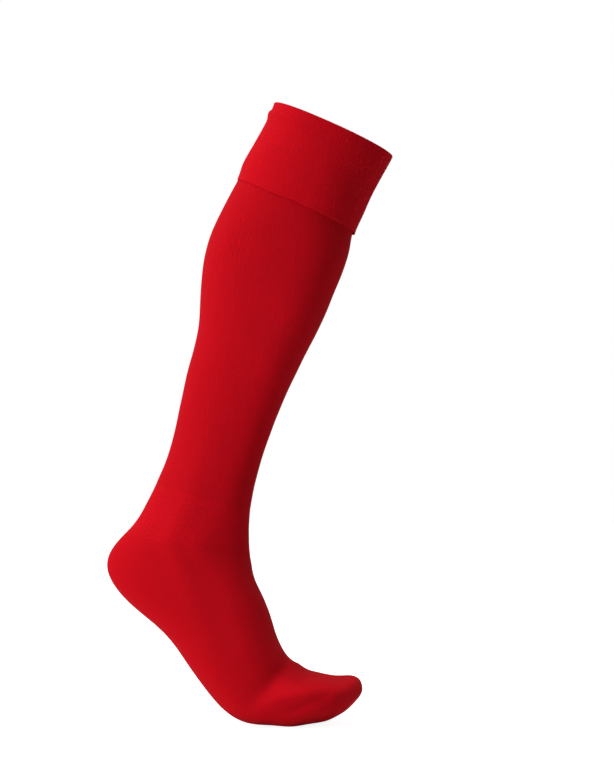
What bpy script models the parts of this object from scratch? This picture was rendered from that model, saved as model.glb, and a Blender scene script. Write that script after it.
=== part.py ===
# A knee-high knitted sports sock with a turned-over cuff, in the form that it has when worn:
# the leg leans forward, the heel is lifted and the toes lie flat.
# Metres, +Z up, +X towards the toes, the big toe on the +Y side.
# The origin is the centre of the leg opening, at the top of the cuff.

import bpy
import numpy as np

# The three straight lines that the sock follows: down the leg, along the foot, along the toes
LEG_LENGTH = 0.385          # leg opening to ankle joint
LEG_LEAN = 18.1             # degrees forward from upright
FOOT_LENGTH = 0.144         # ankle joint to ball of the foot
FOOT_DIP = 66.3             # degrees below level
TOE_LENGTH = 0.090          # ball of the foot to toe tip
TOE_RISE = 2.0              # degrees above level
TOE_SWING = 9.0             # degrees towards the big toe

# Depth is measured front to back, or instep to sole. Width is measured from side to side.
TOP_DEPTH = 0.107
TOP_WIDTH = 0.101
CALF_DEPTH = 0.117
CALF_WIDTH = 0.112
ANKLE_DEPTH = 0.078
ANKLE_WIDTH = 0.071
HEEL_DEPTH = 0.126
HEEL_WIDTH = 0.067
BALL_DEPTH = 0.079
BALL_WIDTH = 0.096
TOE_DEPTH = 0.060
TOE_WIDTH = 0.084

# Knitted walls
LEG_WALL = 0.0015
BAND_WALL = 0.0018
FOOT_WALL = 0.0024
CUFF_WALL = 0.0017          # the outer layer of the cuff
CUFF_EASE = 0.0007          # air between the cuff's outer layer and the leg
PIECE_GAP = 0.0003

# Where one piece ends and the next begins
CUFF_DROP = 0.076           # depth of the turned-over layer, along the leg
CUFF_TUCK = 0.007           # how far the cuff's inner layer reaches down inside
LIP_HEIGHT = 0.009          # the flattened lip at the top fold
LIP_SINK = 0.0006           # how much thinner the lip is than the layer below it
LIP_STEP = 0.002            # length over which the lip steps out to the layer below it
BAND_HEIGHT = 0.044         # ankle band
BAND_BELOW_ANKLE = 0.001    # lower edge of the band below the ankle joint, along the foot
HEEL_REACH = 0.067          # from the band to the front edge of the heel, under the foot
HEEL_TIP = 0.001            # width of the heel's two points, at the sides
HEEL_FULLNESS = 0.9         # power of the cosine that the heel's front edge follows, fuller below 1
TOE_CAP_LENGTH = 0.052
TOE_ROUNDING = 0.028        # length of the rounded-off toe end
SLOPE_STEP = 0.0002         # step over which the surface's slope is taken, in metres and radians

COLUMNS = 40                # faces round each tube, a multiple of 4
CUFF_ROWS = 9
LEG_ROWS = 22
BAND_ROWS = 4
HEEL_ROWS = 8
FOOT_ROWS = 14
TOE_ROWS = 9
FOLD_TURNS = 6              # faces over the top fold
HEM_TURNS = 3               # faces round the hem and inside the fold
SHARP_EDGE = 40             # degrees

# Linear colours of the knits
DEEP_RED = (0.50, 0.003, 0.010)
BRIGHT_RED = (0.55, 0.003, 0.011)
CUFF_RED = (0.52, 0.004, 0.012)
HEEL_RED = (0.58, 0.002, 0.011)
RIB_ROUGHNESS = 0.85
CUSHION_ROUGHNESS = 0.90

SIZES = {
    "top": (TOP_DEPTH, TOP_WIDTH),
    "calf": (CALF_DEPTH, CALF_WIDTH),
    "ankle": (ANKLE_DEPTH, ANKLE_WIDTH),
    "heel": (HEEL_DEPTH, HEEL_WIDTH),
    "ball": (BALL_DEPTH, BALL_WIDTH),
    "toe": (TOE_DEPTH, TOE_WIDTH),
}

# A place counts along the three lines: 0 at the opening, 1 at the ankle, 2 at the ball, 3 at the tip.
# Back (or sole) and front (or instep) are shares of the named depth, and the little-toe side
# and big-toe side shares of the named width, all measured from the line. Turn is how far the section's front
# is turned up, in degrees. Square is 2 for an ellipse and more for a boxier half.
SECTION_COLUMNS = (
    "place", "size", "back", "front", "little_side", "big_side", "turn", "back_square", "front_square")
SECTIONS = (
    (0.00, "top", 0.503, 0.528, 0.500, 0.500, -24.0, 2.4, 2.0),
    (0.05, "top", 0.514, 0.494, 0.502, 0.502, -24.3, 2.3, 2.0),
    (0.10, "top", 0.547, 0.462, 0.505, 0.505, -24.5, 2.2, 2.0),
    (0.15, "top", 0.583, 0.443, 0.511, 0.511, -24.8, 2.2, 2.1),
    (0.19, "top", 0.602, 0.430, 0.515, 0.515, -25.0, 2.3, 2.2),
    (0.24, "calf", 0.579, 0.408, 0.490, 0.490, -23.5, 2.5, 2.4),
    (0.34, "calf", 0.617, 0.402, 0.500, 0.500, -20.5, 2.6, 2.7),
    (0.40, "calf", 0.596, 0.386, 0.488, 0.488, -19.5, 2.6, 2.8),
    (0.44, "calf", 0.566, 0.371, 0.472, 0.472, -19.0, 2.6, 2.8),
    (0.52, "calf", 0.494, 0.331, 0.430, 0.430, -18.5, 2.5, 2.8),
    (0.62, "calf", 0.466, 0.289, 0.372, 0.372, -18.0, 2.3, 2.8),
    (0.72, "ankle", 0.650, 0.405, 0.520, 0.520, -18.0, 2.1, 2.7),
    (0.80, "ankle", 0.617, 0.408, 0.495, 0.495, -18.0, 1.9, 2.6),
    (0.88, "ankle", 0.636, 0.448, 0.505, 0.505, -15.5, 1.8, 2.5),
    (0.94, "ankle", 0.682, 0.520, 0.525, 0.525, -14.0, 1.8, 2.4),
    (1.00, "ankle", 0.785, 0.624, 0.535, 0.530, -12.0, 1.8, 2.3),
    (1.11, "heel", 0.655, 0.340, 0.555, 0.540, -5.0, 1.8, 2.4),
    (1.24, "heel", 0.699, 0.305, 0.565, 0.530, 0.0, 1.9, 2.5),
    (1.36, "heel", 0.614, 0.300, 0.580, 0.530, 4.0, 2.1, 2.4),
    (1.50, "heel", 0.486, 0.290, 0.580, 0.540, 7.0, 2.4, 2.2),
    (1.70, "ball", 0.629, 0.420, 0.420, 0.410, 13.0, 2.6, 2.0),
    (1.88, "ball", 0.508, 0.457, 0.422, 0.470, 26.0, 2.8, 2.0),
    (2.05, "ball", 0.390, 0.485, 0.456, 0.510, 46.0, 3.0, 2.0),
    (2.25, "toe", 0.488, 0.455, 0.550, 0.560, 62.0, 3.0, 2.1),
    (2.40, "toe", 0.472, 0.348, 0.564, 0.540, 70.0, 3.0, 2.1),
    (2.60, "toe", 0.415, 0.246, 0.550, 0.510, 78.0, 2.8, 2.2),
    (2.80, "toe", 0.335, 0.196, 0.490, 0.470, 84.0, 2.6, 2.3),
    (3.00, "toe", 0.230, 0.340, 0.370, 0.400, 88.0, 2.4, 2.4),
)

# Bumps, hollows and creases on that skin. Angle goes round the section in degrees: 0 is the front or the
# instep, 90 the big-toe side, 180 the back or the sole and 270 the little-toe side. Heading is the way the
# crease runs: 0 along the sock, 90 round it. Long, wide and rise are shares of the named depth.
FOLD_COLUMNS = ("place", "size", "angle", "heading", "long", "wide", "rise")
FOLDS = (
    (1.02, "ankle", 241, 0, 0.95, 0.15, 0.026),      # edge between the back and the side of the heel
    (0.99, "ankle", 276, 0, 0.20, 0.16, 0.026),      # outer ankle bone
    (0.95, "ankle", 92, 0, 0.20, 0.16, 0.040),       # inner ankle bone
    (0.93, "ankle", 132, -5, 0.40, 0.12, -0.040),    # hollow beside the tendon
    (1.95, "ball", 286, 104, 0.42, 0.16, -0.054),    # bend of the toes
    (2.54, "toe", 262, 90, 0.40, 0.44, 0.050),       # little toe
    (2.48, "toe", 282, 14, 0.50, 0.15, 0.044),       # ridge over the little toes
    (2.40, "toe", 260, 20, 0.16, 0.06, -0.030),      # creases over the toes
    (2.54, "toe", 269, 14, 0.20, 0.06, -0.032),
    (2.38, "toe", 10, 80, 0.55, 0.18, -0.014),       # dip behind the big toe's end
    (2.84, "toe", 24, 20, 0.20, 0.22, 0.030),        # big toe
    (2.38, "toe", 234, 10, 0.20, 0.14, 0.028),       # undersides of the toes
    (2.66, "toe", 231, 10, 0.14, 0.12, 0.024),
    (2.87, "toe", 225, 10, 0.12, 0.10, 0.022),
)


def columns_of(names, rows):
    """The table's rows as one array for each named column."""
    return {name: np.array(values) for name, values in zip(names, zip(*rows))}


def sized(table, column, side):
    """A column's shares as lengths: of the named depth where side is 0, of the width where it is 1."""
    return table[column] * np.array([SIZES[size][side] for size in table["size"]])


def station_of(place):
    """Distance down the three lines from the opening, for a place from 0 to 3."""
    ends = np.cumsum([0.0, LEG_LENGTH, FOOT_LENGTH, TOE_LENGTH])
    return np.interp(place, np.arange(4), ends)


def line_points(place):
    """Points on the three straight lines."""
    lean, dip, rise, swing = np.radians([LEG_LEAN, FOOT_DIP, TOE_RISE, TOE_SWING])
    leg = LEG_LENGTH * np.array([-np.sin(lean), 0.0, -np.cos(lean)])
    foot = FOOT_LENGTH * np.array([np.cos(dip), 0.0, -np.sin(dip)])
    toes = TOE_LENGTH * np.array([np.cos(rise) * np.cos(swing), np.sin(swing), np.sin(rise)])
    ends = np.cumsum([np.zeros(3), leg, foot, toes], axis=0)
    return np.stack([np.interp(place, np.arange(4), ends[:, axis]) for axis in range(3)], axis=1)


def smooth(knots, values, at):
    """A natural cubic curve through the values at the knots."""
    span = np.diff(knots)
    slope = np.diff(values) / span
    bends = np.eye(len(knots))
    pull = np.zeros(len(knots))
    for i in range(1, len(knots) - 1):
        bends[i, i - 1:i + 2] = span[i - 1], 2 * (span[i - 1] + span[i]), span[i]
        pull[i] = 6 * (slope[i] - slope[i - 1])
    bend = np.linalg.solve(bends, pull)
    i = np.clip(np.searchsorted(knots, at) - 1, 0, len(span) - 1)
    after = at - knots[i]
    before = knots[i + 1] - at
    straight = (values[i] * before + values[i + 1] * after) / span[i]
    return straight - (
        bend[i] * before * (span[i] ** 2 - before ** 2) + bend[i + 1] * after * (span[i] ** 2 - after ** 2)
    ) / (6 * span[i])


SECTION = columns_of(SECTION_COLUMNS, SECTIONS)
FOLD = columns_of(FOLD_COLUMNS, FOLDS)
TOE_END = LEG_LENGTH + FOOT_LENGTH + TOE_LENGTH


def relief(station, angle, reach):
    """Height of the bumps and creases on the skin. Reach is the local distance from line to skin."""
    height = np.zeros_like(station)
    shares = [sized(FOLD, column, 0) for column in ("long", "wide", "rise")]
    rows = zip(FOLD["place"], FOLD["angle"], FOLD["heading"], *shares)
    for place, turn, heading, length, width, rise in rows:
        down = station - station_of(place)
        round_it = ((np.degrees(angle) - turn + 180) % 360 - 180) * np.pi / 180 * reach
        c, s = np.cos(np.radians(heading)), np.sin(np.radians(heading))
        along = (down * c + round_it * s) / length
        across = (round_it * c - down * s) / width
        height += rise * np.exp(-along ** 2 - across ** 2)
    return height


def skin(station, angle):
    """Outer surface of the knit at each distance down the sock and angle round it."""
    knots = station_of(SECTION["place"])
    middle = line_points(SECTION["place"])
    middle = np.stack([smooth(knots, middle[:, axis], station) for axis in range(3)], axis=-1)
    back = smooth(knots, sized(SECTION, "back", 0), station)
    front = smooth(knots, sized(SECTION, "front", 0), station)
    little = smooth(knots, sized(SECTION, "little_side", 1), station)
    big = smooth(knots, sized(SECTION, "big_side", 1), station)
    turn = np.radians(smooth(knots, SECTION["turn"], station))
    ahead, sideways = np.cos(angle), np.sin(angle)
    is_front = ahead > 0
    square = np.where(
        is_front,
        smooth(knots, SECTION["front_square"], station),
        smooth(knots, SECTION["back_square"], station))
    depth = np.where(is_front, front, back)
    width = np.where(sideways > 0, big, little)
    reach = (np.abs(ahead / depth) ** square + np.abs(sideways / width) ** square) ** (-1 / square)
    over = np.clip((station - TOE_END) / TOE_ROUNDING + 1, 0, 1)
    rounding = np.sqrt(1 - over ** 2)
    reach = (reach + relief(station, angle, reach) * rounding) * rounding
    out = np.stack([ahead * np.cos(turn), sideways, ahead * np.sin(turn)], axis=-1)
    return middle + reach[..., None] * out


def knit(station, angle, lift):
    """Points on the skin, moved along its outward direction by lift."""
    inside = np.minimum(station, TOE_END - 2 * SLOPE_STEP)
    down = skin(inside + SLOPE_STEP, angle) - skin(inside - SLOPE_STEP, angle)
    round_it = skin(inside, angle + SLOPE_STEP) - skin(inside, angle - SLOPE_STEP)
    out = np.cross(down, round_it)
    out /= np.linalg.norm(out, axis=-1, keepdims=True)
    at_tip = station >= TOE_END
    if at_tip.any():
        out[at_tip] = out[at_tip].mean(axis=0) / np.linalg.norm(out[at_tip].mean(axis=0))
    return skin(station, angle) + lift[..., None] * out


def band_top():
    return station_of(1.0) + BAND_BELOW_ANKLE - BAND_HEIGHT


def band_bottom():
    return station_of(1.0) + BAND_BELOW_ANKLE


def heel_edge(angle):
    """How far down the heel's front edge lies: on the band at the two sides and furthest under the foot."""
    behind = -np.cos(angle)
    reach = np.maximum(HEEL_REACH * np.clip(behind, 0, 1) ** HEEL_FULLNESS, HEEL_TIP)
    return band_bottom() + np.where(behind > -1e-6, reach, 0)


def ring_angles():
    return np.arange(COLUMNS) * 2 * np.pi / COLUMNS


def rows_between(start, end, rows):
    """Stations of each row, evenly spaced from the start to the end, which may differ round the ring."""
    share = np.linspace(0, 1, rows + 1)[:, None]
    return start + (end - start) * share


def solid(name, points, faces, colour, roughness):
    """An object with its own material, from a closed set of faces."""
    mesh = bpy.data.meshes.new(name)
    mesh.from_pydata(points.reshape(-1, 3).tolist(), [], faces)
    mesh.shade_smooth()
    mesh.set_sharp_from_angle(angle=np.radians(SHARP_EDGE))
    material = bpy.data.materials.new(name)
    material.use_nodes = True
    shader = material.node_tree.nodes["Principled BSDF"]
    shader.inputs["Base Color"].default_value = (*colour, 1.0)
    shader.inputs["Roughness"].default_value = roughness
    shader.inputs["Metallic"].default_value = 0.0
    mesh.materials.append(material)
    piece = bpy.data.objects.new(name, mesh)
    bpy.context.collection.objects.link(piece)
    return piece


def carried_round(rows, columns, ring=True):
    """Faces of a closed profile of that many points, carried from column to column.

    Each face is split on the diagonal that makes the two rims at a gap between pieces run parallel.
    """
    faces = []
    for i in range(rows):
        below = (i + 1) % rows
        for j in range(columns if ring else columns - 1):
            beside = (j + 1) % columns
            a, b = i * columns + j, below * columns + j
            c, d = below * columns + beside, i * columns + beside
            if 2 * i < rows:
                faces += [(a, b, c), (a, c, d)]
            else:
                faces += [(a, b, d), (b, c, d)]
    return faces


def tube(name, start, end, rows, wall, colour, roughness):
    """A knitted tube between two edges, which may be waved round the ring."""
    angle = ring_angles()
    station = rows_between(start, end, rows)
    station, angle = np.broadcast_arrays(station, angle)
    outside = knit(station, angle, np.zeros(station.shape))
    inside = knit(station, angle, np.full(station.shape, -wall))
    points = np.concatenate([outside, inside[::-1]])
    faces = carried_round(len(points), COLUMNS)
    return solid(name, points, faces, colour, roughness)


def half_round(middle, radius_down, radius_out, turns, over=True):
    """Half a turn in the cuff's profile, from its inner side over to its outer side, or back."""
    turn = np.linspace(0, np.pi, turns + 1)
    turn = turn if over else turn[::-1]
    station, lift = middle
    return np.stack([station - radius_down * np.sin(turn), lift - radius_out * np.cos(turn)], axis=1)


def turnover_cuff():
    """The top of the leg tube folded outwards and down over itself, as one hook-shaped wall.

    Its profile is pairs of station and lift: up the inner layer, over the fold, down the outer layer,
    round the hem and back up to the underside of the fold.
    """
    lip_wall = CUFF_WALL - LIP_SINK
    half_thick = (LEG_WALL + CUFF_EASE + lip_wall) / 2
    top_fold = half_round((half_thick, half_thick - LEG_WALL), half_thick, half_thick, FOLD_TURNS)
    lip = np.array([[LIP_HEIGHT, CUFF_EASE + lip_wall]])
    down = np.linspace(LIP_HEIGHT + LIP_STEP, CUFF_DROP - CUFF_WALL / 2, CUFF_ROWS)[:, None]
    outer_face = np.hstack([down, np.full_like(down, CUFF_EASE + CUFF_WALL)])
    inner_face = np.hstack([down[::-1], np.full_like(down, CUFF_EASE)])
    hem_middle = (CUFF_DROP - CUFF_WALL / 2, CUFF_EASE + CUFF_WALL / 2)
    hem = half_round(hem_middle, -CUFF_WALL / 2, CUFF_WALL / 2, HEM_TURNS, over=False)[1:-1]
    inside_middle = (LEG_WALL + CUFF_EASE / 2, CUFF_EASE / 2)
    fold_inside = half_round(inside_middle, CUFF_EASE / 2, CUFF_EASE / 2, HEM_TURNS, over=False)
    tuck = np.array([[CUFF_TUCK, 0.0], [CUFF_TUCK, -LEG_WALL]])
    profile = np.concatenate([top_fold, lip, outer_face, hem, inner_face, fold_inside, tuck])
    angle = np.broadcast_to(ring_angles(), (len(profile), COLUMNS))
    station = np.broadcast_to(profile[:, :1], angle.shape)
    lift = np.broadcast_to(profile[:, 1:], angle.shape)
    points = knit(station, angle, lift)
    return solid("turnover_cuff", points, carried_round(len(profile), COLUMNS), CUFF_RED, RIB_ROUGHNESS)


def leg_tube():
    start = CUFF_TUCK + PIECE_GAP
    end = band_top() - PIECE_GAP / 2
    return tube("leg_tube", start, end, LEG_ROWS, LEG_WALL, BRIGHT_RED, RIB_ROUGHNESS)


def ankle_band():
    start = band_top() + PIECE_GAP / 2
    end = band_bottom() - PIECE_GAP / 2
    return tube("ankle_band", start, end, BAND_ROWS, BAND_WALL, DEEP_RED, RIB_ROUGHNESS)


def heel_pocket():
    """A crescent round the back of the heel, whose two points end on the band at the sides."""
    angle = ring_angles()[COLUMNS // 4:3 * COLUMNS // 4 + 1]
    start = band_bottom() + PIECE_GAP / 2
    end = heel_edge(angle) - PIECE_GAP / 2
    station = rows_between(start, end, HEEL_ROWS)
    station, angle = np.broadcast_arrays(station, angle)
    outside = knit(station, angle, np.zeros(station.shape))
    inside = knit(station, angle, np.full(station.shape, -FOOT_WALL))
    points = np.concatenate([outside, inside[::-1]])
    rows = len(points)
    columns = len(angle[0])
    faces = carried_round(rows, columns, ring=False)
    for i in range(HEEL_ROWS):
        across = rows - 1 - i
        first = (i * columns, across * columns, (across - 1) * columns, (i + 1) * columns)
        faces.append(first)
        faces.append(tuple(corner + columns - 1 for corner in reversed(first)))
    return solid("heel_pocket", points, faces, HEEL_RED, CUSHION_ROUGHNESS)


def toe_cap_start():
    return TOE_END - TOE_CAP_LENGTH


def foot_tube():
    start = heel_edge(ring_angles()) + PIECE_GAP / 2
    end = toe_cap_start() - PIECE_GAP / 2
    return tube("foot_tube", start, end, FOOT_ROWS, FOOT_WALL, DEEP_RED, CUSHION_ROUGHNESS)


def toe_cap():
    """The closed toe end. Its rows draw together towards the tip, where they meet in one point."""
    share = np.sin(np.linspace(0, np.pi / 2, TOE_ROWS + 1))
    start = toe_cap_start() + PIECE_GAP / 2
    station = start + (TOE_END - start) * share[:, None]
    station[-1] = TOE_END
    station, angle = np.broadcast_arrays(station, ring_angles())
    outside = knit(station, angle, np.zeros(station.shape))
    inside = knit(station, angle, np.full(station.shape, -FOOT_WALL))
    rings = np.concatenate([outside[:-1], inside[:-1][::-1]])
    tips = np.stack([outside[-1, 0], inside[-1, 0]])
    points = np.concatenate([rings.reshape(-1, 3), tips])
    faces = [face for face in carried_round(len(rings), COLUMNS)
             if face[0] // COLUMNS != TOE_ROWS - 1]
    outer_tip, inner_tip = len(points) - 2, len(points) - 1
    for j in range(COLUMNS):
        beside = (j + 1) % COLUMNS
        outer_ring = (TOE_ROWS - 1) * COLUMNS
        inner_ring = TOE_ROWS * COLUMNS
        faces.append((outer_ring + j, outer_tip, outer_ring + beside))
        faces.append((inner_ring + beside, inner_tip, inner_ring + j))
    return solid("toe_cap", points, faces, BRIGHT_RED, CUSHION_ROUGHNESS)


def main():
    for old in list(bpy.data.objects):
        bpy.data.objects.remove(old, do_unlink=True)
    sock = bpy.data.objects.new("leg_opening", None)
    sock.empty_display_size = TOP_DEPTH / 2
    bpy.context.collection.objects.link(sock)
    for make in (turnover_cuff, leg_tube, ankle_band, heel_pocket, foot_tube, toe_cap):
        make().parent = sock


main()
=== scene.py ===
import math

import bpy
import numpy as np
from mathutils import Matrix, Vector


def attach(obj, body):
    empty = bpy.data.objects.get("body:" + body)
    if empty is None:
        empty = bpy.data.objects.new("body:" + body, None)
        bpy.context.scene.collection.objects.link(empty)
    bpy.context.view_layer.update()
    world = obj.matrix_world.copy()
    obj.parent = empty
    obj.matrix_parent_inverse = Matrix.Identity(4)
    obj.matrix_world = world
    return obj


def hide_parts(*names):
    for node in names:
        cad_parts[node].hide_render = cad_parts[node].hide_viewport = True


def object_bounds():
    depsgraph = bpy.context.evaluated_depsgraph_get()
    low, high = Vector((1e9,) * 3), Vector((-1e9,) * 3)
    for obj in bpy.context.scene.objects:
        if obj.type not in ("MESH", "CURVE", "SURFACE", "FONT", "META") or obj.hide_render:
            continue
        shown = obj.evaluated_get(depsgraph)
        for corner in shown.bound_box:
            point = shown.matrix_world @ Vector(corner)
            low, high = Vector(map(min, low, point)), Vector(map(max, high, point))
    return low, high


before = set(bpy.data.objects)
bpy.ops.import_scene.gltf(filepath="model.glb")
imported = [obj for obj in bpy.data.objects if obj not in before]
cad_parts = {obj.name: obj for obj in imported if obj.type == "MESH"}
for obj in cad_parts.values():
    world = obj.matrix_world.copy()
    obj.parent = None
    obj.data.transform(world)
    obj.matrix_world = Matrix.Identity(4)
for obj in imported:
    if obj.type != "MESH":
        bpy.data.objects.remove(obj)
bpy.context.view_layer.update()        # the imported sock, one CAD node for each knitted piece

# Lengths are in metres, angles in degrees. A place counts down the sock along three straight lines:
# 0 at the leg opening, 1 at the ankle, 2 at the ball of the foot, 3 at the toe tip.
sockShape = {
    "legLength": 0.385, "legLean": 18.1,
    "footLength": 0.144, "footDip": 66.3,
    "toeLength": 0.090, "toeRise": 2.0, "toeSwing": 9.0,
    "toeRounding": 0.028,
    "depth": {"top": 0.107, "calf": 0.117, "ankle": 0.078, "heel": 0.126, "ball": 0.079, "toe": 0.060},
    "width": {"top": 0.101, "calf": 0.112, "ankle": 0.071, "heel": 0.067, "ball": 0.096, "toe": 0.084},
}

# One row for each section: shares of the named depth behind and in front of the line, shares of the
# named width to the little-toe and big-toe sides, how far the front is turned up, and how square the
# back and front halves are (2 is an ellipse).
sectionColumns = ("place", "size", "back", "front", "little", "big", "turn", "backSquare", "frontSquare")
sectionRows = (
    (0.00, "top", 0.503, 0.528, 0.500, 0.500, -24.0, 2.4, 2.0),
    (0.05, "top", 0.514, 0.494, 0.502, 0.502, -24.3, 2.3, 2.0),
    (0.10, "top", 0.547, 0.462, 0.505, 0.505, -24.5, 2.2, 2.0),
    (0.15, "top", 0.583, 0.443, 0.511, 0.511, -24.8, 2.2, 2.1),
    (0.19, "top", 0.602, 0.430, 0.515, 0.515, -25.0, 2.3, 2.2),
    (0.24, "calf", 0.579, 0.408, 0.490, 0.490, -23.5, 2.5, 2.4),
    (0.34, "calf", 0.617, 0.402, 0.500, 0.500, -20.5, 2.6, 2.7),
    (0.40, "calf", 0.596, 0.386, 0.488, 0.488, -19.5, 2.6, 2.8),
    (0.44, "calf", 0.566, 0.371, 0.472, 0.472, -19.0, 2.6, 2.8),
    (0.52, "calf", 0.494, 0.331, 0.430, 0.430, -18.5, 2.5, 2.8),
    (0.62, "calf", 0.466, 0.289, 0.372, 0.372, -18.0, 2.3, 2.8),
    (0.72, "ankle", 0.650, 0.405, 0.520, 0.520, -18.0, 2.1, 2.7),
    (0.80, "ankle", 0.617, 0.408, 0.495, 0.495, -18.0, 1.9, 2.6),
    (0.88, "ankle", 0.636, 0.448, 0.505, 0.505, -15.5, 1.8, 2.5),
    (0.94, "ankle", 0.682, 0.520, 0.525, 0.525, -14.0, 1.8, 2.4),
    (1.00, "ankle", 0.785, 0.624, 0.535, 0.530, -12.0, 1.8, 2.3),
    (1.11, "heel", 0.655, 0.340, 0.555, 0.540, -5.0, 1.8, 2.4),
    (1.24, "heel", 0.699, 0.305, 0.565, 0.530, 0.0, 1.9, 2.5),
    (1.36, "heel", 0.614, 0.300, 0.580, 0.530, 4.0, 2.1, 2.4),
    (1.50, "heel", 0.486, 0.290, 0.580, 0.540, 7.0, 2.4, 2.2),
    (1.70, "ball", 0.629, 0.420, 0.420, 0.410, 13.0, 2.6, 2.0),
    (1.88, "ball", 0.508, 0.457, 0.422, 0.470, 26.0, 2.8, 2.0),
    (2.05, "ball", 0.390, 0.485, 0.456, 0.510, 46.0, 3.0, 2.0),
    (2.25, "toe", 0.488, 0.455, 0.550, 0.560, 62.0, 3.0, 2.1),
    (2.40, "toe", 0.472, 0.348, 0.564, 0.540, 70.0, 3.0, 2.1),
    (2.60, "toe", 0.415, 0.246, 0.550, 0.510, 78.0, 2.8, 2.2),
    (2.80, "toe", 0.335, 0.196, 0.490, 0.470, 84.0, 2.6, 2.3),
    (3.00, "toe", 0.230, 0.340, 0.370, 0.400, 88.0, 2.4, 2.4),
)

# One row for each bump, hollow or crease. Angle 0 is the front or instep, 90 the big-toe side, 180 the
# back or sole. Heading 0 runs along the sock, 90 round it. The last three are shares of the named depth.
foldColumns = ("place", "size", "angle", "heading", "long", "wide", "rise")
foldRows = (
    (1.02, "ankle", 241, 0, 0.95, 0.15, 0.026),      # edge between the back and the side of the heel
    (0.99, "ankle", 276, 0, 0.20, 0.16, 0.026),      # outer ankle bone
    (0.95, "ankle", 92, 0, 0.20, 0.16, 0.040),       # inner ankle bone
    (0.93, "ankle", 132, -5, 0.40, 0.12, -0.040),    # hollow beside the tendon
    (1.95, "ball", 286, 104, 0.42, 0.16, -0.054),    # bend of the toes
    (2.54, "toe", 262, 90, 0.40, 0.44, 0.050),       # little toe
    (2.48, "toe", 282, 14, 0.50, 0.15, 0.044),       # ridge over the little toes
    (2.40, "toe", 260, 20, 0.16, 0.06, -0.030),      # creases over the toes
    (2.54, "toe", 269, 14, 0.20, 0.06, -0.032),
    (2.38, "toe", 10, 80, 0.55, 0.18, -0.014),       # dip behind the big toe's end
    (2.84, "toe", 24, 20, 0.20, 0.22, 0.030),        # big toe
    (2.38, "toe", 234, 10, 0.20, 0.14, 0.028),       # undersides of the toes
    (2.66, "toe", 231, 10, 0.14, 0.12, 0.024),
    (2.87, "toe", 225, 10, 0.12, 0.10, 0.022),
)


def columnsOf(names, rows):
    # the table's rows as one array for each named column
    return {name: np.array(values) for name, values in zip(names, zip(*rows))}


section = columnsOf(sectionColumns, sectionRows)
fold = columnsOf(foldColumns, foldRows)


def sized(table, column, side):
    # shares times the named depth or width
    return table[column] * np.array([sockShape[side][size] for size in table["size"]])


def stationOf(place):
    # distance down the three lines
    ends = np.cumsum([0.0, sockShape["legLength"], sockShape["footLength"], sockShape["toeLength"]])
    return np.interp(place, np.arange(4), ends)


toeEnd = float(stationOf(3))


def linePoints(place):
    # points on the three lines: each line is its length times its unit direction
    lean, dip = math.radians(sockShape["legLean"]), math.radians(sockShape["footDip"])
    rise, swing = math.radians(sockShape["toeRise"]), math.radians(sockShape["toeSwing"])
    leg = sockShape["legLength"] * np.array([-math.sin(lean), 0, -math.cos(lean)])
    foot = sockShape["footLength"] * np.array([math.cos(dip), 0, -math.sin(dip)])
    toes = sockShape["toeLength"] * np.array(
        [math.cos(rise) * math.cos(swing), math.sin(swing), math.sin(rise)])
    ends = np.cumsum([np.zeros(3), leg, foot, toes], axis=0)
    return np.stack([np.interp(place, np.arange(4), ends[:, axis]) for axis in range(3)], axis=1)


def smoothCurve(knots, values, at):
    # natural cubic through the values: the second slopes solve one row of three numbers for each knot
    span = np.diff(knots)
    slope = np.diff(values) / span
    bends, pull = np.eye(len(knots)), np.zeros(len(knots))
    for i in range(1, len(knots) - 1):
        bends[i, i - 1:i + 2] = span[i - 1], 2 * (span[i - 1] + span[i]), span[i]
        pull[i] = 6 * (slope[i] - slope[i - 1])
    bend = np.linalg.solve(bends, pull)
    i = np.clip(np.searchsorted(knots, at) - 1, 0, len(span) - 1)
    after, before = at - knots[i], knots[i + 1] - at
    straight = (values[i] * before + values[i + 1] * after) / span[i]
    fromLeft = bend[i] * before * (span[i] ** 2 - before ** 2)
    fromRight = bend[i + 1] * after * (span[i] ** 2 - after ** 2)
    return straight - (fromLeft + fromRight) / (6 * span[i])


def foldHeight(station, angle, reach):
    # each row adds its rise times a bell curve that is long along its heading and narrow across it
    height = np.zeros_like(reach)
    shares = [sized(fold, column, "depth") for column in ("long", "wide", "rise")]
    rows = zip(fold["place"], fold["angle"], fold["heading"], *shares)
    for place, turn, heading, length, width, rise in rows:
        down = station - stationOf(place)
        aside = ((np.degrees(angle) - turn + 180) % 360 - 180) * math.pi / 180 * reach
        c, s = math.cos(math.radians(heading)), math.sin(math.radians(heading))
        along, across = down * c + aside * s, aside * c - down * s
        height += rise * np.exp(-(along / length) ** 2 - (across / width) ** 2)
    return height


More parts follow.
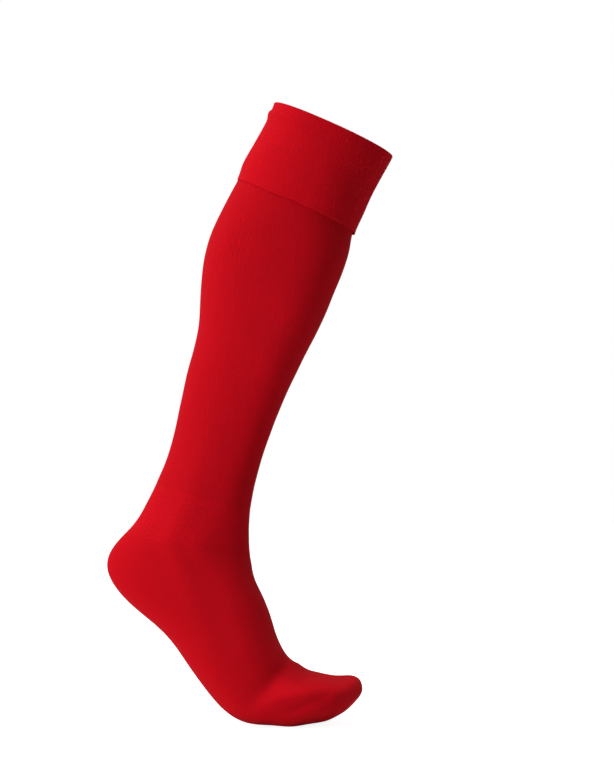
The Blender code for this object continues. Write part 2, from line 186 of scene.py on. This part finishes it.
def skin(station, angle):
    # smooth outer surface: from the line outwards at each angle, a superellipse with its own half length
    # behind, in front and to each side, plus the folds, all drawn in by a quarter circle at the toe end
    knots = stationOf(section["place"])
    middle = linePoints(section["place"])
    middle = np.stack([smoothCurve(knots, middle[:, axis], station) for axis in range(3)], axis=-1)
    ahead, aside = np.cos(angle), np.sin(angle)
    frontHalf = ahead > 0
    depth = np.where(frontHalf, smoothCurve(knots, sized(section, "front", "depth"), station),
                     smoothCurve(knots, sized(section, "back", "depth"), station))
    width = np.where(aside > 0, smoothCurve(knots, sized(section, "big", "width"), station),
                     smoothCurve(knots, sized(section, "little", "width"), station))
    square = np.where(frontHalf, smoothCurve(knots, section["frontSquare"], station),
                      smoothCurve(knots, section["backSquare"], station))
    turn = np.radians(smoothCurve(knots, section["turn"], station))
    reach = (np.abs(ahead / depth) ** square + np.abs(aside / width) ** square) ** (-1 / square)
    over = np.clip((station - toeEnd) / sockShape["toeRounding"] + 1, 0, 1)
    rounding = np.sqrt(1 - over ** 2)
    reach = (reach + foldHeight(station, angle, reach) * rounding) * rounding
    out = np.stack([ahead * np.cos(turn), aside + 0 * turn, ahead * np.sin(turn)], axis=-1)
    return middle + reach[..., None] * out


def knitPoints(station, angle, lift):
    # the skin moved by lift along its normal, which is the cross product of its two slopes
    station, angle, lift = np.broadcast_arrays(station, angle, lift)
    step = 0.0002    # for the slopes, in metres and radians
    inside = np.minimum(station, toeEnd - 2 * step)
    down = skin(inside + step, angle) - skin(inside - step, angle)
    around = skin(inside, angle + step) - skin(inside, angle - step)
    out = np.cross(down, around)
    out /= np.linalg.norm(out, axis=-1, keepdims=True)
    atTip = station >= toeEnd - 1e-9
    if atTip.any():
        tipOut = out[atTip].mean(axis=0)
        out[atTip] = tipOut / np.linalg.norm(tipOut)
    return skin(station, angle) + lift[..., None] * out


def wave(angle, *terms):
    # a sum of sines round the ring, each given as (times round, size, shift in degrees)
    return sum(size * np.sin(times * angle + math.radians(shift)) for times, size, shift in terms)


def easeIn(distance, reach):
    # 0 at the edge, 1 from reach onwards, with level ends
    share = np.clip(distance / reach, 0, 1)
    return share * share * (3 - 2 * share)


sharpFrom = 50    # edges that turn by more degrees than this are drawn sharp


def knitMesh(name, points, wales, course, closedRing=True, tipRow=None, caps=0):
    # Puts a grid of rows and columns into a mesh. Rows run round the profile of the wall and close on the
    # first, columns run round the tube. tipRow is the first of two rows that are each drawn together in
    # one point. caps is how many steps of the profile close each open end of a crescent.
    rows, columns = points.shape[:2]
    steps = columns if closedRing else columns - 1
    rowStep, columnStep = np.meshgrid(np.arange(rows), np.arange(steps), indexing="ij")
    if tipRow is not None:
        keep = (rowStep < tipRow - 1) | (rowStep > tipRow + 1)
        rowStep, columnStep = rowStep[keep], columnStep[keep]
    rowStep, columnStep = rowStep.ravel(), columnStep.ravel()
    cornerRows = np.stack([rowStep, rowStep + 1, rowStep + 1, rowStep], 1)
    cornerColumns = np.stack([columnStep, columnStep, columnStep + 1, columnStep + 1], 1)
    gaps = np.linalg.norm(np.diff(np.concatenate([points, points[:1]]), axis=0), axis=-1)
    travelled = np.concatenate([np.zeros((1, columns)), np.cumsum(gaps, axis=0)])
    travelled = np.broadcast_to(travelled.mean(axis=1, keepdims=True), travelled.shape)
    corners = [cornerRows.ravel() % rows * columns + cornerColumns.ravel() % columns]
    sides = [np.full(len(rowStep), 4)]
    # the map counts wales round the tube, and courses by the mean distance travelled along the profile
    u = [cornerColumns.ravel() / steps * wales]
    v = [travelled[cornerRows.ravel(), 0] / course]
    if tipRow is not None:
        # a fan of triangles on each side of the two tips
        j = np.arange(columns)
        k = (j + 1) % columns
        outerTip = np.full(columns, tipRow * columns)
        innerTip = np.full(columns, (tipRow + 1) * columns)
        outerRing, innerRing = (tipRow - 1) * columns, (tipRow + 2) * columns
        fans = np.concatenate([np.stack([outerRing + j, outerTip, outerRing + k], 1),
                               np.stack([innerRing + k, innerTip, innerRing + j], 1)])
        corners.append(fans.ravel())
        sides.append(np.full(len(fans), 3))
        fanU = np.concatenate([np.stack([j, j + 0.5, j + 1], 1), np.stack([j + 1, j + 0.5, j], 1)])
        u.append(fanU.ravel() / steps * wales)
        tall = travelled[:, 0]
        outerV = np.broadcast_to(tall[[tipRow - 1, tipRow, tipRow - 1]], (columns, 3))
        innerV = np.broadcast_to(tall[[tipRow + 2, tipRow + 1, tipRow + 2]], (columns, 3))
        v.append(np.concatenate([outerV, innerV]).ravel() / course)
    if caps:
        # the two open ends of a crescent, closed by a strip from its outer rows to its inner rows
        i = np.arange(caps)
        far = rows - 1 - i
        strip = np.stack([i, far, far - 1, i + 1], 1) * columns
        ends = np.concatenate([strip, strip[:, ::-1] + columns - 1])
        corners.append(ends.ravel())
        sides.append(np.full(len(ends), 4))
        u.append(np.zeros(ends.size))
        v.append(np.zeros(ends.size))
    corners, sides = np.concatenate(corners), np.concatenate(sides)
    uv = np.stack([np.concatenate(u), np.concatenate(v)], 1)
    vertices = points.reshape(-1, 3)
    if tipRow is not None:
        # of each drawn-together row only the first point is used, so the rest are left out
        used = np.unique(corners)
        renumber = np.zeros(len(vertices), int)
        renumber[used] = np.arange(len(used))
        vertices, corners = vertices[used], renumber[corners]
    mesh = bpy.data.meshes.new(name)
    mesh.vertices.add(len(vertices))
    mesh.vertices.foreach_set("co", vertices.astype(np.float32).ravel())
    mesh.loops.add(len(corners))
    mesh.loops.foreach_set("vertex_index", corners.astype(np.int32))
    mesh.polygons.add(len(sides))
    mesh.polygons.foreach_set("loop_start", (np.cumsum(sides) - sides).astype(np.int32))
    mesh.polygons.foreach_set("loop_total", sides.astype(np.int32))
    mesh.update(calc_edges=True)
    mesh.uv_layers.new(name="stitches").data.foreach_set("uv", uv.astype(np.float32).ravel())
    mesh.shade_smooth()
    mesh.set_sharp_from_angle(angle=math.radians(sharpFrom))
    piece = bpy.data.objects.new(name, mesh)
    bpy.context.scene.collection.objects.link(piece)
    print("made", name, len(vertices), "points")
    return piece


def finishPiece(piece, node, material):
    # each knit takes the place of its CAD node and stays with the one body
    piece.data.materials.append(material)
    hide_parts(node)
    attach(piece, "root")
    return piece


# Materials. The stitches read the piece's own UV map, counted in wales across and courses down, and the
# fuzz and the patches read Object coordinates.

def knitMaterial(settings):
    material = bpy.data.materials.new(settings["name"])
    material.use_nodes = True
    tree = material.node_tree
    nodes, links = tree.nodes, tree.links
    shader = nodes["Principled BSDF"]
    shader.inputs["Roughness"].default_value = settings["roughness"]
    shader.inputs["Specular IOR Level"].default_value = settings["gloss"]
    shader.inputs["Sheen Weight"].default_value = settings["sheen"]
    shader.inputs["Sheen Roughness"].default_value = settings["sheenRoughness"]
    shader.inputs["Sheen Tint"].default_value = (*settings["sheenColour"], 1)

    def calc(operation, first, second=None, third=None):
        node = nodes.new("ShaderNodeMath")
        node.operation = operation
        for socket, value in zip(node.inputs, (first, second, third)):
            if value is None:
                continue
            if isinstance(value, (int, float)):
                socket.default_value = value
            else:
                links.new(value, socket)
        return node.outputs[0]

    uvMap = nodes.new("ShaderNodeUVMap")
    uvMap.uv_map = "stitches"
    split = nodes.new("ShaderNodeSeparateXYZ")
    links.new(uvMap.outputs[0], split.inputs[0])
    place = nodes.new("ShaderNodeTexCoord").outputs["Object"]
    wale = calc("MULTIPLY", split.outputs[0], settings["stitchesPerWale"])
    # side is 0 in the middle of a wale and 1 at its edges; each leg of the V lies halfway between
    side = calc("MULTIPLY", calc("ABSOLUTE", calc("SUBTRACT", calc("FRACT", wale), 0.5)), 2)
    leg = calc("SUBTRACT", 1, calc("POWER", calc("ABSOLUTE", calc("MULTIPLY_ADD", side, 2, -1)), 2))
    course = calc("FRACT", calc("MULTIPLY_ADD", side, settings["slant"], split.outputs[1]))
    loop = calc("SINE", calc("MULTIPLY", course, math.pi))
    loop = calc("MULTIPLY_ADD", loop, settings["loopShare"], 1 - settings["loopShare"])
    stitch = calc("MULTIPLY", leg, loop)

    fuzz = nodes.new("ShaderNodeTexNoise")
    fuzz.inputs["Scale"].default_value = settings["fuzzScale"]
    fuzz.inputs["Detail"].default_value = settings["fuzzDetail"]
    links.new(place, fuzz.inputs["Vector"])
    patch = nodes.new("ShaderNodeTexNoise")
    patch.inputs["Scale"].default_value = settings["patchScale"]
    patch.inputs["Detail"].default_value = settings["patchDetail"]
    links.new(place, patch.inputs["Vector"])

    # tone is the mean of stitch and fuzz, moved up and down by the patches; where the stitch is low, in the
    # gaps between the yarns, it paints shade
    tone = calc("MULTIPLY_ADD", stitch, 0.5, calc("MULTIPLY", fuzz.outputs["Fac"], 0.5))
    patchTone = calc("MULTIPLY_ADD", patch.outputs["Fac"], settings["patchStrength"],
                     -settings["patchStrength"] / 2)
    tone = calc("ADD", tone, patchTone)
    if "pitShade" in settings:
        # painted shade: the bottoms of the mesh's dots are darker, by how deep each point lies in one
        pits = nodes.new("ShaderNodeAttribute")
        pits.attribute_name = "pits"
        tone = calc("MULTIPLY_ADD", pits.outputs["Fac"], -settings["pitShade"], tone)
    # the ramp runs from shadeColour, painted shade in the gaps between the yarns mixed with random darker
    # fuzz and patches, to yarnColour, the yarn's own red
    ramp = nodes.new("ShaderNodeValToRGB")
    ramp.color_ramp.elements[0].position = settings["shadeAt"]
    ramp.color_ramp.elements[0].color = (*settings["shadeColour"], 1)
    ramp.color_ramp.elements[1].position = settings["yarnAt"]
    ramp.color_ramp.elements[1].color = (*settings["yarnColour"], 1)
    links.new(tone, ramp.inputs[0])
    links.new(ramp.outputs[0], shader.inputs["Base Color"])

    height = calc("MULTIPLY_ADD", fuzz.outputs["Fac"], settings["fuzzBump"], stitch)
    bump = nodes.new("ShaderNodeBump")
    bump.inputs["Strength"].default_value = settings["bump"]
    bump.inputs["Distance"].default_value = settings["bumpHeight"]
    links.new(height, bump.inputs["Height"])
    links.new(bump.outputs[0], shader.inputs["Normal"])
    return material


# shadeColour is painted shade for the gaps between the yarns, and the darker end of the random fuzz and
# patches
ribYarn = {
    "name": "ribKnit",
    "yarnColour": (0.63, 0.0030, 0.0105), "shadeColour": (0.44, 0.0021, 0.0073),
    "yarnAt": 0.78, "shadeAt": 0.12,
    "roughness": 0.95, "gloss": 0.05, "sheen": 0.06, "sheenRoughness": 0.5, "sheenColour": (1.0, 0.20, 0.20),
    "stitchesPerWale": 1, "slant": 0.55, "loopShare": 0.65, "fuzzScale": 1400, "fuzzDetail": 4,
    "patchScale": 30, "patchDetail": 3, "patchStrength": 0.14,
    "fuzzBump": 0.3, "bump": 0.32, "bumpHeight": 0.00022,
}
cuffYarn = dict(ribYarn, name="cuffKnit",
                yarnColour=(0.69, 0.0032, 0.0115), shadeColour=(0.49, 0.0023, 0.0080))
# pitShade is painted shade in the bottoms of the dots
meshYarn = dict(ribYarn, name="meshKnit", pitShade=0.27,
                yarnColour=(0.80, 0.0038, 0.0134), shadeColour=(0.46, 0.0022, 0.0079))
cushionYarn = dict(ribYarn, name="cushionKnit", fuzzScale=1100, bump=0.26, fuzzBump=0.6,
                   yarnColour=(0.64, 0.0030, 0.0105), shadeColour=(0.46, 0.0022, 0.0073))


# The camera stands level on the little-toe side. openingPixel is where the picture has the leg opening.

camera = {"metresPerPixel": 0.00088, "distance": 2.1, "openingPixel": (332, 129), "picture": (614, 768),
          "sensorWidth": 36}


def placeCamera():
    # the lens is the sensor's width times the distance, divided by the height that the picture shows
    size = camera["metresPerPixel"]
    wide, tall = camera["picture"]
    openingX, openingY = camera["openingPixel"]
    data = bpy.data.cameras.new("camera")
    data.sensor_width = camera["sensorWidth"]
    data.lens = data.sensor_width * camera["distance"] / (size * tall)
    eye = bpy.data.objects.new("camera", data)
    eye.location = ((wide / 2 - openingX) * size, -camera["distance"], (openingY - tall / 2) * size)
    eye.rotation_euler = (math.pi / 2, 0, 0)
    bpy.context.scene.collection.objects.link(eye)
    bpy.context.scene.camera = eye


placeCamera()
print("camera placed")

# Borders between the knits, as distances down the sock
knitBorders = {"bandPastAnkle": 0.001, "bandDepth": 0.044, "heelDepth": 0.067, "heelCurve": 0.9,
               "toeCapDepth": 0.052}
bandTop = float(stationOf(1)) + knitBorders["bandPastAnkle"] - knitBorders["bandDepth"]
bandBottom = float(stationOf(1)) + knitBorders["bandPastAnkle"]
toeCapStart = toeEnd - knitBorders["toeCapDepth"]


def heelEdge(angle):
    # on the band in front, and behind it as far down as a power of the cosine
    return bandBottom + knitBorders["heelDepth"] * np.clip(-np.cos(angle), 0, 1) ** knitBorders["heelCurve"]


def ringAngles(columns):
    # even steps once round the tube
    return np.arange(columns) * 2 * math.pi / columns


ribRoundness = 0.8    # below 1 the ribs are broad and the valleys narrow


def ribHeight(angle, wales, depth, crest):
    # rounded ribs with narrow valleys: a power of the cosine's size, one rib for each wale
    return crest - depth * (1 - np.abs(np.cos(angle * wales / 2)) ** ribRoundness)


def unevenness(station, angle, size):
    # slow waves of the knit: a product of two sines and two weaker ones, each running slantwise round
    return size * (
        np.sin(station * 61 + 2 * angle + 0.4) * np.cos(3 * angle - station * 23)
        + 0.6 * np.sin(station * 117 - 5 * angle + 1.9) + 0.4 * np.cos(station * 205 + 4 * angle))


# The ribbed leg

legTube = {"wales": 168, "columnsPerWale": 4, "rowsUnderCuff": 6, "rows": 104, "insideRows": 16,
           "wall": 0.0015, "ribDepth": 0.00018, "ribCrest": 0.00010, "course": 0.0012,
           "top": 0.0073, "cuffCover": 0.070, "coverEdge": 0.004, "edge": 0.0010, "waves": 0.00012,
           "insideRibs": 0.5,
           "openAt": (0.125, 226), "openReach": (0.048, 24), "openRibs": 1.4}


def makeLegTube():
    # the skin lifted by ribs and slow waves outside, and sunk by the wall with weaker ribs inside
    spec = legTube
    angle = ringAngles(spec["wales"] * spec["columnsPerWale"])
    covered = np.linspace(spec["top"], spec["cuffCover"], spec["rowsUnderCuff"] + 1)[:-1]
    bare = np.linspace(spec["cuffCover"], bandTop, spec["rows"] + 1)
    station = np.concatenate([covered, bare])[:, None]
    inside = np.linspace(bandTop, spec["top"], spec["insideRows"] + 1)[:, None]
    ribs = ribHeight(angle, spec["wales"], spec["ribDepth"], spec["ribCrest"])
    shown = easeIn(bandTop - station, spec["edge"]) * easeIn(station - spec["cuffCover"], spec["coverEdge"])
    # the ribs open over the fullest part of the calf: a bell curve along and round
    along = (station - spec["openAt"][0]) / spec["openReach"][0]
    around = (np.degrees(angle) - spec["openAt"][1]) / spec["openReach"][1]
    opened = 1 + spec["openRibs"] * np.exp(-along ** 2 - around ** 2)
    outer = ribs * opened * shown + unevenness(station, angle, spec["waves"]) * shown
    inner = -spec["wall"] + spec["insideRibs"] * ribs * easeIn(bandTop - inside, spec["edge"])
    station = np.broadcast_to(np.concatenate([station, inside]), (len(outer) + len(inner), len(angle)))
    points = knitPoints(station, angle, np.concatenate([outer, inner]))
    piece = knitMesh("leg_tube_knit", points, spec["wales"], spec["course"])
    return finishPiece(piece, "leg_tube", knitMaterial(ribYarn))


# The turned-over cuff

cuff = {"wales": 168, "columnsPerWale": 4, "rows": 70, "backRows": 14, "foldTurns": 12, "hemTurns": 6,
        "drop": 0.076, "tuck": 0.007, "wall": 0.0017, "legWall": 0.0015, "ease": 0.0007, "foldFullness": 0.62,
        "lipHeight": 0.0072, "lipSink": 0.0008, "lipStep": 0.0014, "lipFade": 1.5,
        "rollAt": 0.0108, "rollReach": 0.0040, "roll": 0.0014,
        "pressAngle": 215, "pressReach": 0.016, "pressShare": 0.62,
        "ribDepth": 0.00019, "ribCrest": 0.00008, "hemRibs": 0.6, "course": 0.0012,
        "waves": 0.00016, "wavesFrom": 0.01,
        "hemWaveFrom": 0.03, "hemWave": ((2, 0.0007, 40), (5, 0.0004, 10), (9, 0.00025, 80))}


def halfRound(middle, down, out, turns, over=True, fullness=1.0):
    # half a turn in the profile, as (station, lift) pairs: sine and cosine to the power of fullness, which
    # squares the turn where it is below 1
    turn = np.linspace(0, math.pi, turns + 1)
    turn = turn if over else turn[::-1]
    along = np.clip(np.sin(turn), 0, 1) ** fullness
    across = np.sign(np.cos(turn)) * np.abs(np.cos(turn)) ** fullness
    return np.stack([middle[0] - down * along, middle[1] - out * across], 1)


def makeCuff():
    # a closed profile of (station, lift) pairs round the fold, the face, the hem and back up, carried round
    # the skin, with the ribs along the profile's own outward direction
    spec = cuff
    angle = ringAngles(spec["wales"] * spec["columnsPerWale"])
    halfThick = (spec["legWall"] + spec["ease"] + spec["wall"]) / 2
    half = spec["wall"] / 2
    topFold = halfRound((halfThick, halfThick - spec["legWall"]), halfThick, halfThick, spec["foldTurns"],
                        fullness=spec["foldFullness"])
    down = np.linspace(halfThick, spec["drop"] - half, spec["rows"])[1:]
    outerFace = np.stack([down, np.full_like(down, spec["ease"] + spec["wall"])], 1)
    hem = halfRound((spec["drop"] - half, spec["ease"] + half), -half, half, spec["hemTurns"], over=False)
    hem = hem[1:-1]
    up = np.linspace(spec["drop"] - half, 2 * spec["legWall"], spec["backRows"])
    innerFace = np.stack([up, np.full_like(up, spec["ease"])], 1)
    middle = (spec["legWall"] + spec["ease"] / 2, spec["ease"] / 2)
    foldInside = halfRound(middle, spec["ease"] / 2, spec["ease"] / 2, spec["hemTurns"], over=False)
    tuck = np.array([[spec["tuck"], 0.0], [spec["tuck"], -spec["legWall"]]])
    parts = [topFold, outerFace, hem, innerFace, foldInside, tuck]
    counts = [len(part) for part in parts]
    profile = np.concatenate(parts)
    ribbed = np.repeat([1.0, 1.0, spec["hemRibs"], 0.0, 0.0, 0.0], counts)[:, None]
    onFace = np.repeat([0.0, 1.0, 0.0, 0.0, 0.0, 0.0], counts)[:, None]
    # the profile's own outward direction, so that the ribs run over the fold
    ahead = np.roll(profile, -1, axis=0) - np.roll(profile, 1, axis=0)
    ahead /= np.linalg.norm(ahead, axis=1, keepdims=True)
    outward = np.stack([-ahead[:, 1], ahead[:, 0]], 1)
    place = profile[:, :1]
    height = ribbed * ribHeight(angle, spec["wales"], spec["ribDepth"], spec["ribCrest"])
    height = height + onFace * easeIn(place, spec["wavesFrom"]) * unevenness(place, angle, spec["waves"])
    # the lip is pressed thin at the back of the leg, and fades out round the sides
    outside = np.zeros_like(place)
    outside[:counts[0], 0] = np.linspace(0, 1, counts[0]) ** 2
    outside[counts[0]:counts[0] + counts[1]] = 1
    sink = spec["lipSink"] * outside * (1 - easeIn(place - spec["lipHeight"], spec["lipStep"]))
    # under the lip the cloth rolls out a little
    sink = sink - onFace * spec["roll"] * np.exp(-((place - spec["rollAt"]) / spec["rollReach"]) ** 2)
    sink = sink * np.clip(-np.cos(angle), 0, 1) ** spec["lipFade"]
    hemDrop = easeIn(place - spec["hemWaveFrom"], spec["drop"] - spec["hemWaveFrom"])
    hemDrop = hemDrop * wave(angle, *spec["hemWave"])
    station = place + outward[:, :1] * height + hemDrop
    # the hem is pressed close to the leg at the back and stands off it in front
    press = easeIn(place - spec["drop"] + spec["pressReach"], spec["pressReach"])
    press = press * (0.5 + 0.5 * np.cos(angle - math.radians(spec["pressAngle"])))
    lift = (profile[:, 1:] + outward[:, 1:] * height) * (1 - spec["pressShare"] * press) - sink
    points = knitPoints(station, angle, lift)
    piece = knitMesh("turnover_cuff_knit", points, spec["wales"], spec["course"])
    return finishPiece(piece, "turnover_cuff", knitMaterial(cuffYarn))


# The ankle band, a knit with rows of dots

ankleBand = {"wales": 168, "dots": 92, "columnsPerDot": 6, "dotRows": 32, "rowsPerDot": 4,
             "insideRows": 6, "wall": 0.0018, "dotDepth": 0.00045, "crest": 0.00012, "edge": 0.0008,
             "course": 0.0012}


def makeAnkleBand():
    # the skin lifted by the crest and sunk where a dot is
    spec = ankleBand
    angle = ringAngles(spec["dots"] * spec["columnsPerDot"])
    share = np.linspace(0, 1, spec["dotRows"] * spec["rowsPerDot"] + 1)[:, None]
    station = bandTop + (bandBottom - bandTop) * share
    inside = np.linspace(bandBottom, bandTop, spec["insideRows"] + 1)[:, None]
    # dots where the product of a wave round and a wave along is high, so each row is shifted by half a dot
    dots = 0.5 + 0.5 * np.cos(spec["dots"] * angle) * np.cos(math.pi * spec["dotRows"] * share)
    shown = easeIn(station - bandTop, spec["edge"]) * easeIn(bandBottom - station, spec["edge"])
    outer = (spec["crest"] - spec["dotDepth"] * dots) * shown
    inner = np.broadcast_to(-spec["wall"] + 0 * inside, (len(inside), len(angle)))
    station = np.broadcast_to(np.concatenate([station, inside]), (len(outer) + len(inner), len(angle)))
    points = knitPoints(station, angle, np.concatenate([outer, inner]))
    piece = knitMesh("ankle_band_knit", points, spec["wales"], spec["course"])
    # how deep each point lies in a dot, for the painted shade in the dots' bottoms: halfway at the edges,
    # none inside
    pits = np.concatenate([0.5 + (dots - 0.5) * shown, np.zeros(inner.shape)]).astype(np.float32)
    piece.data.attributes.new("pits", "FLOAT", "POINT").data.foreach_set("value", pits.ravel())
    return finishPiece(piece, "ankle_band", knitMaterial(meshYarn))


# The cushioned heel, foot and toe

foot = {"wales": 168, "course": 0.0012, "wall": 0.0024, "columns": 336, "rows": 190, "insideRows": 30,
        "heelColumns": 200, "heelRows": 80, "heelPoint": 0.0001, "toeRows": 90,
        "waves": 0.00010, "fade": 0.1, "shortFade": 0.05}


def makeHeel():
    # the back half of the skin from the band to the heel's edge, lifted by slow waves that fade at its edges
    spec = foot
    angle = np.linspace(math.pi / 2, 3 * math.pi / 2, spec["heelColumns"] + 1)
    end = np.maximum(heelEdge(angle), bandBottom + spec["heelPoint"])
    share = np.linspace(0, 1, spec["heelRows"] + 1)[:, None]
    station = bandBottom + (end - bandBottom) * share
    shown = easeIn(share, spec["fade"]) * easeIn(1 - share, spec["fade"])
    lift = unevenness(station, angle, spec["waves"]) * shown
    station = np.concatenate([station, station[::-1]])
    lift = np.concatenate([lift, np.full_like(lift, -spec["wall"])])
    points = knitPoints(station, angle, lift)
    piece = knitMesh("heel_pocket_knit", points, spec["wales"] / 2, spec["course"], closedRing=False,
                     caps=spec["heelRows"])
    return finishPiece(piece, "heel_pocket", knitMaterial(dict(cushionYarn, name="heelKnit")))


def makeFoot():
    # the skin from the heel's edge to the toe cap, lifted by slow waves that fade at both ends
    spec = foot
    angle = ringAngles(spec["columns"])
    start = heelEdge(angle)
    share = np.linspace(0, 1, spec["rows"] + 1)[:, None]
    inShare = np.linspace(1, 0, spec["insideRows"] + 1)[:, None]
    station = start + (toeCapStart - start) * share
    inside = start + (toeCapStart - start) * inShare
    shown = easeIn(share, spec["shortFade"]) * easeIn(1 - share, spec["shortFade"])
    lift = unevenness(station, angle, spec["waves"]) * shown
    points = knitPoints(np.concatenate([station, inside]), angle,
                        np.concatenate([lift, np.full_like(inside, -spec["wall"])]))
    piece = knitMesh("foot_tube_knit", points, spec["wales"], spec["course"])
    return finishPiece(piece, "foot_tube", knitMaterial(dict(cushionYarn, name="footKnit")))


def makeToe():
    # the skin to its tip, in rows that close up as a sine, lifted by slow waves that fade at both ends
    spec = foot
    angle = ringAngles(spec["columns"])
    share = np.sin(np.linspace(0, math.pi / 2, spec["toeRows"] + 1))[:, None]
    station = toeCapStart + (toeEnd - toeCapStart) * share
    station[-1] = toeEnd
    shown = easeIn(share, spec["fade"]) * easeIn(1 - share, spec["shortFade"])
    lift = unevenness(station, angle, spec["waves"]) * shown
    both = np.broadcast_to(np.concatenate([station, station[::-1]]), (2 * len(station), len(angle)))
    points = knitPoints(both, angle, np.concatenate([lift, np.full_like(lift, -spec["wall"])]))
    piece = knitMesh("toe_cap_knit", points, spec["wales"], spec["course"], tipRow=spec["toeRows"])
    return finishPiece(piece, "toe_cap", knitMaterial(dict(cushionYarn, name="toeKnit")))


makeCuff()
makeLegTube()
makeAnkleBand()
makeHeel()
makeFoot()
makeToe()

# Studio: a tall soft lamp at the left, one above, a low one near the floor, a narrow one for the toes, and
# a surround that is brightest behind the sock. Spreads are in degrees.

studio = {
    "lamps": (
        {"name": "leftLamp", "power": 17.5, "across": 1.2, "tall": 1.6, "place": (-1.6, -1.6, 0.1)},
        {"name": "topLamp", "power": 25, "across": 1.2, "tall": 1.2, "place": (-0.3, -0.2, 1.9)},
        {"name": "lowLamp", "power": 10, "across": 1.6, "tall": 0.2, "place": (-1.5, -0.5, -0.4)},
        {"name": "toeLamp", "power": 0.065, "across": 0.2, "tall": 0.2, "place": (-0.54, -0.69, 0.82),
         "aim": (0.095, -0.04, -0.47), "spread": 6},
    ),
    "aim": (-0.05, 0, -0.28),
    "brightest": (0, 1, 0), "surroundMiddle": 0.28, "surroundSwing": 0.28,
    "backdropGlow": 1.0,
    "floorSize": 6, "floorColour": (0.70, 0.70, 0.70), "floorRoughness": 0.9, "floorGlow": 0.9,
}


def cameraOnly(nodes, links, seen):
    # seen is the glow in the picture itself, and To Min is the light that falls on the sock
    path = nodes.new("ShaderNodeLightPath")
    chosen = nodes.new("ShaderNodeMapRange")
    chosen.inputs["To Min"].default_value = 0
    chosen.inputs["To Max"].default_value = seen
    links.new(path.outputs["Is Camera Ray"], chosen.inputs["Value"])
    return chosen


def makeLamp(spec):
    # an area lamp turned towards its aim: tilted by the rise, then swung by the heading
    lamp = bpy.data.lights.new(spec["name"], "AREA")
    lamp.energy = spec["power"]
    lamp.shape = "RECTANGLE"
    lamp.size = spec["across"]
    lamp.size_y = spec["tall"]
    light = bpy.data.objects.new(spec["name"], lamp)
    light.location = spec["place"]
    lamp.spread = math.radians(spec.get("spread", 180))
    aim = [end - start for start, end in zip(spec["place"], spec.get("aim", studio["aim"]))]
    flat = math.hypot(aim[0], aim[1])
    light.rotation_euler = (math.pi / 2 + math.atan2(aim[2], flat), 0, math.atan2(-aim[0], aim[1]))
    light.visible_camera = False
    bpy.context.scene.collection.objects.link(light)


def makeStudio():
    # lamps, a pale floor under the lowest point, and the surround
    for spec in studio["lamps"]:
        makeLamp(spec)

    half = studio["floorSize"] / 2
    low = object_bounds()[0][2]
    corners = [(-half, -half, low), (half, -half, low), (half, half, low), (-half, half, low)]
    mesh = bpy.data.meshes.new("floor")
    mesh.from_pydata(corners, [], [(0, 1, 2, 3)])
    floor = bpy.data.objects.new("floor", mesh)
    material = bpy.data.materials.new("paleFloor")
    material.use_nodes = True
    nodes, links = material.node_tree.nodes, material.node_tree.links
    shader = nodes["Principled BSDF"]
    shader.inputs["Base Color"].default_value = (*studio["floorColour"], 1)
    shader.inputs["Roughness"].default_value = studio["floorRoughness"]
    shader.inputs["Emission Color"].default_value = (1, 1, 1, 1)
    chosen = cameraOnly(nodes, links, studio["floorGlow"])
    links.new(chosen.outputs["Result"], shader.inputs["Emission Strength"])
    mesh.materials.append(material)
    bpy.context.scene.collection.objects.link(floor)

    world = bpy.data.worlds.new("surround")
    bpy.context.scene.world = world
    world.use_nodes = True
    nodes, links = world.node_tree.nodes, world.node_tree.links
    nodes["Background"].inputs["Color"].default_value = (1, 1, 1, 1)
    # middle + swing x the cosine of the angle to the brightest direction
    direction = nodes.new("ShaderNodeTexCoord").outputs["Generated"]
    cosine = nodes.new("ShaderNodeVectorMath")
    cosine.operation = "DOT_PRODUCT"
    links.new(direction, cosine.inputs[0])
    cosine.inputs[1].default_value = studio["brightest"]
    light = nodes.new("ShaderNodeMath")
    light.operation = "MULTIPLY_ADD"
    links.new(cosine.outputs["Value"], light.inputs[0])
    light.inputs[1].default_value = studio["surroundSwing"]
    light.inputs[2].default_value = studio["surroundMiddle"]
    chosen = cameraOnly(nodes, links, studio["backdropGlow"])
    links.new(light.outputs[0], chosen.inputs["To Min"])
    links.new(chosen.outputs["Result"], nodes["Background"].inputs["Strength"])
    bpy.context.scene.view_settings.view_transform = "Standard"


makeStudio()
print("studio ready")
